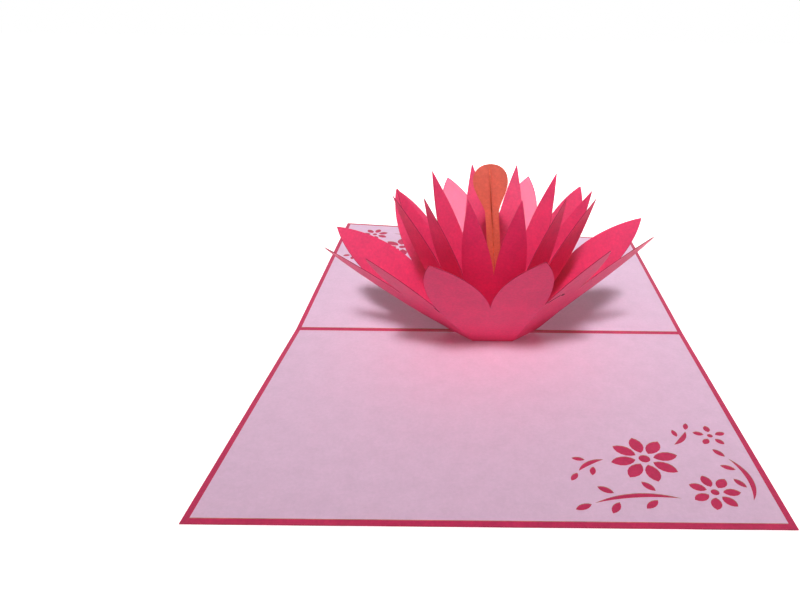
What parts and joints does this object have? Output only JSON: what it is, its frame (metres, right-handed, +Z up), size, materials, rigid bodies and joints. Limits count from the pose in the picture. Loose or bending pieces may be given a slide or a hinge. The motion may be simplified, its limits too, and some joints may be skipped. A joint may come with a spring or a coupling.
{
  "type": "pop up greeting card",
  "caption": "Open greeting card: two pierced pages on a folded cover and a raised paper flower with a slotted pistil at the fold.",
  "frame": {"origin": "middle of the card's fold, on the surface that the card lies on", "axes": "+X along the fold, -Y over the near half that lies flat, +Z up"},
  "size_m": [0.18, 0.2488, 0.0789],
  "materials": {
    "cover_card": "matt, uncoated",
    "pearl_paper": "matt, uncoated",
    "petal_card": "matt, uncoated",
    "orange_card": "matt, uncoated"
  },
  "bodies": {
    "root": {"cover_sheet": "cover_card", "liner_near": "pearl_paper", "liner_far": "pearl_paper", "outer_petals_front": "petal_card", "outer_petals_back": "petal_card", "inner_petals_front": "petal_card", "inner_petals_back": "petal_card", "pistil_facing": "orange_card", "pistil_crossing": "orange_card"}
  },
  "joints": []
}
